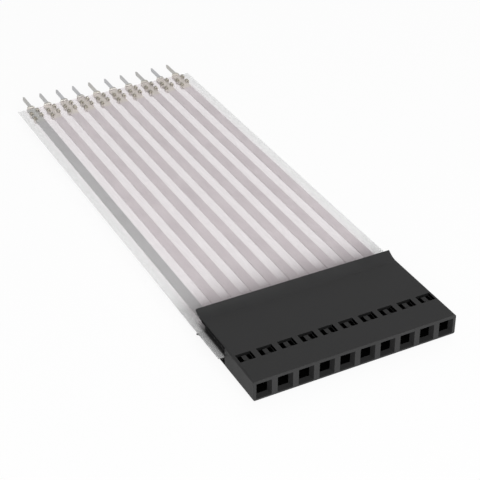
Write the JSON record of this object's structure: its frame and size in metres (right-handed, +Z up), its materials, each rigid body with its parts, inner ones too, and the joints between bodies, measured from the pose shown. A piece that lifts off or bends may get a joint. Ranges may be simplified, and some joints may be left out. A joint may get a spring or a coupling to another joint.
{
  "type": "flat flex jumper cable with receptacle and solder tabs",
  "caption": "Clear flat cable with flat conductors side by side, crimped to a black in-line receptacle housing at one end and to bare solder tabs at the other.",
  "frame": {"origin": "centre of the receptacle housing's mating face, level with the middle of the cable", "axes": "+X along the row of positions from the marked conductor's side, +Y from the mating face along the cable to the solder tabs, +Z up through the side with the latch windows"},
  "size_m": [0.0268, 0.074, 0.0038],
  "materials": {
    "housing_plastic": "fine moulded matte",
    "clear_film": "clear, smooth",
    "conductor_metal": "tinned, dull",
    "marked_conductor": "tinned, dull, darker as the first conductor's mark",
    "contact_metal": "tinned"
  },
  "bodies": {
    "root": {"housing": "housing_plastic", "lower_film": "clear_film", "upper_film": "clear_film", "conductor_01": "marked_conductor", "conductor_02": "conductor_metal", "conductor_03": "conductor_metal", "conductor_04": "conductor_metal", "conductor_05": "conductor_metal", "conductor_06": "conductor_metal", "conductor_07": "conductor_metal", "conductor_08": "conductor_metal", "conductor_09": "conductor_metal", "conductor_10": "conductor_metal", "receptacle_contact_01": "contact_metal", "receptacle_contact_02": "contact_metal", "receptacle_contact_03": "contact_metal", "receptacle_contact_04": "contact_metal", "receptacle_contact_05": "contact_metal", "receptacle_contact_06": "contact_metal", "receptacle_contact_07": "contact_metal", "receptacle_contact_08": "contact_metal", "receptacle_contact_09": "contact_metal", "receptacle_contact_10": "contact_metal", "solder_tab_01": "contact_metal", "solder_tab_02": "contact_metal", "solder_tab_03": "contact_metal", "solder_tab_04": "contact_metal", "solder_tab_05": "contact_metal", "solder_tab_06": "contact_metal", "solder_tab_07": "contact_metal", "solder_tab_08": "contact_metal", "solder_tab_09": "contact_metal", "solder_tab_10": "contact_metal"}
  },
  "joints": []
}
